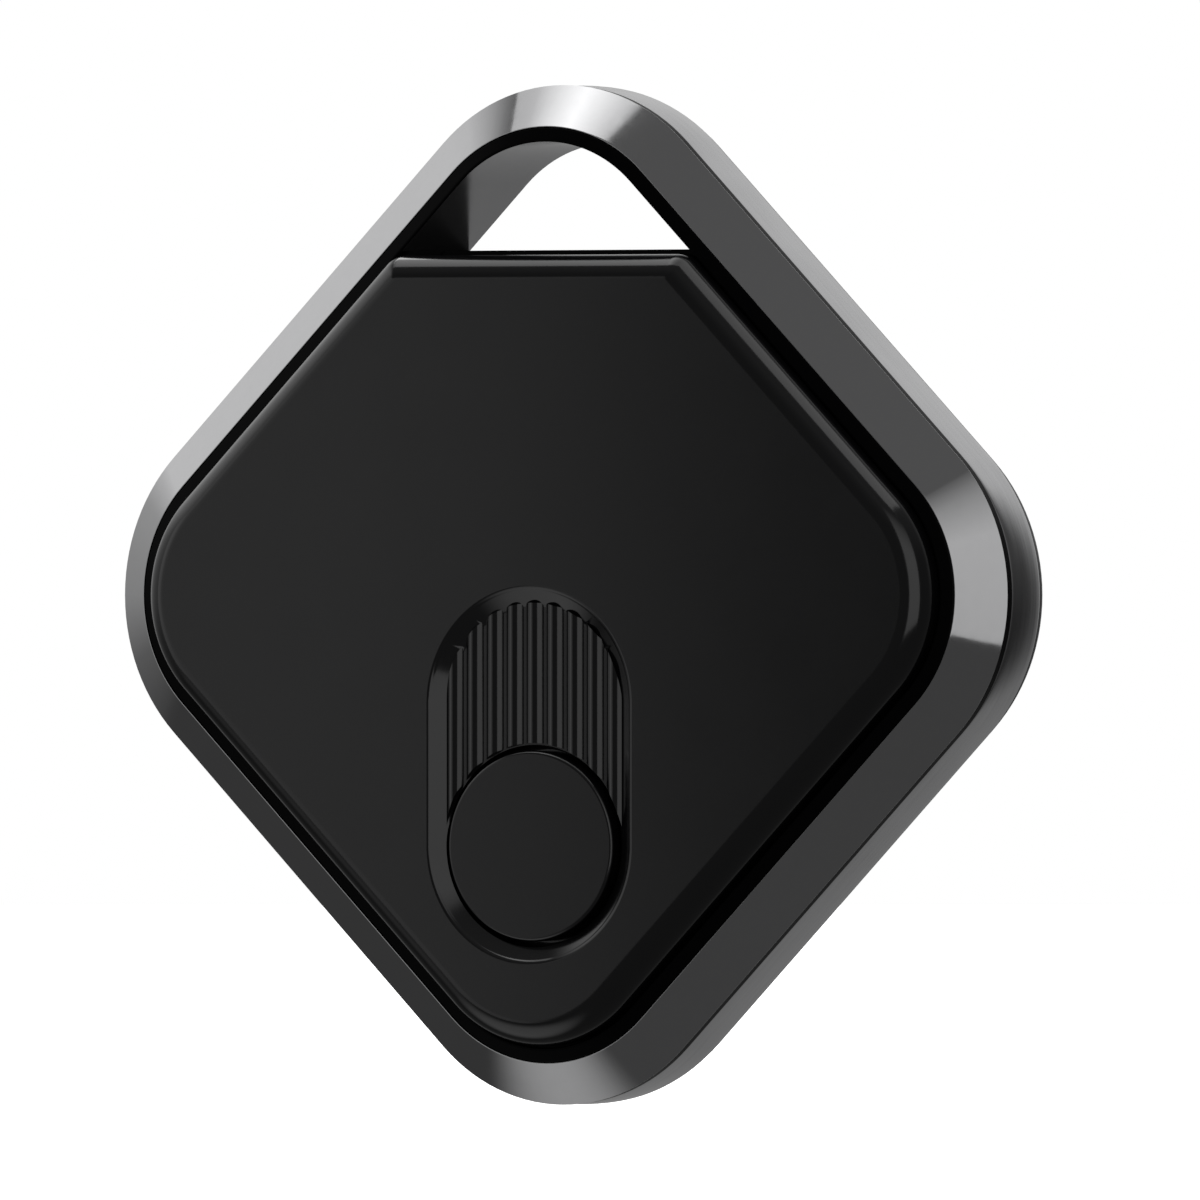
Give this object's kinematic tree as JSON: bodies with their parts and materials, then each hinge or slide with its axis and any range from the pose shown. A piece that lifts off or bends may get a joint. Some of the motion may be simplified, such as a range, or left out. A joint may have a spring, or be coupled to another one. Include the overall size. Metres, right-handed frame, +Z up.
{
  "type": "bluetooth tracker tag",
  "caption": "Rounded square tracker tag hung by a loop through one corner, with a ribbed finger recess, a push button, a metal edge and a twist-off battery door.",
  "frame": {"origin": "inner apex of the keyring loop, half way through the loop's depth, where a ring bears when the tag hangs", "axes": "+Z up towards the loop's corner, +X to the right seen from the front, -Y out of the front cover"},
  "size_m": [0.0464, 0.0076, 0.0464],
  "materials": {
    "front_bezel": "satin, fine circular grain",
    "side_band": "satin, brushed along its length",
    "inner_chassis": "polished black",
    "front_cover": "fine soft-touch matt, dark grey",
    "cover_seal": "adhesive foam",
    "function_button": "fine matt, dark grey",
    "button_pad": "translucent grey silicone",
    "switch_body": "stamped cover",
    "switch_plunger": "smooth",
    "main_board": "green solder mask",
    "radio_chip": "moulded package",
    "crystal": "metal lid",
    "chip_antenna": "fired white",
    "boost_inductor": "sintered ferrite",
    "capacitors": "fired brown",
    "buzzer_plate": "rolled sheet",
    "buzzer_ceramic": "silvered",
    "buzzer_gasket": "adhesive ring",
    "buzzer_springs": "gold plated",
    "cell_can": "nickel plated",
    "cell_gasket": "moulded ring",
    "cell_core": "pressed electrode",
    "cell_lid": "nickel plated",
    "battery_holder": "natural moulding",
    "positive_contact": "gold plated",
    "negative_contact": "gold plated",
    "board_screws": "zinc plated",
    "rear_seal": "adhesive",
    "rear_cover": "fine matt black",
    "battery_door": "fine matt black",
    "door_seal": "silicone"
  },
  "bodies": {
    "case": {"front_bezel": "front_bezel", "side_band": "side_band", "inner_chassis": "inner_chassis", "front_cover": "front_cover", "cover_seal": "cover_seal", "switch_body": "switch_body", "main_board": "main_board", "radio_chip": "radio_chip", "crystal": "crystal", "chip_antenna": "chip_antenna", "boost_inductor": "boost_inductor", "capacitors": "capacitors", "buzzer_plate": "buzzer_plate", "buzzer_ceramic": "buzzer_ceramic", "buzzer_gasket": "buzzer_gasket", "buzzer_springs": "buzzer_springs", "cell_can": "cell_can", "cell_gasket": "cell_gasket", "cell_core": "cell_core", "cell_lid": "cell_lid", "battery_holder": "battery_holder", "positive_contact": "positive_contact", "negative_contact": "negative_contact", "board_screws": "board_screws", "rear_seal": "rear_seal", "rear_cover": "rear_cover", "door_seal": "door_seal"},
    "button": {"function_button": "function_button", "button_pad": "button_pad"},
    "plunger": {"switch_plunger": "switch_plunger"},
    "door": {"battery_door": "battery_door"}
  },
  "joints": [
    {"name": "button_press", "type": "slide", "parent": "case", "child": "button", "axis": [0, 1, 0], "range_m": [0, 0.0002], "stiffness_N_per_m": 4000, "springref_m": -0.0001},
    {"name": "plunger_travel", "type": "slide", "parent": "case", "child": "plunger", "axis": [0, 1, 0], "range_m": [0, 0.0002]},
    {"name": "door_turn", "type": "hinge", "parent": "case", "child": "door", "pos_m": [0, 0.00308, -0.02058], "axis": [0, -1, 0], "range_deg": [-30, 0]}
  ],
  "couplings": [
    {"joint": "plunger_travel", "follows": "button_press", "ratio": 1}
  ]
}
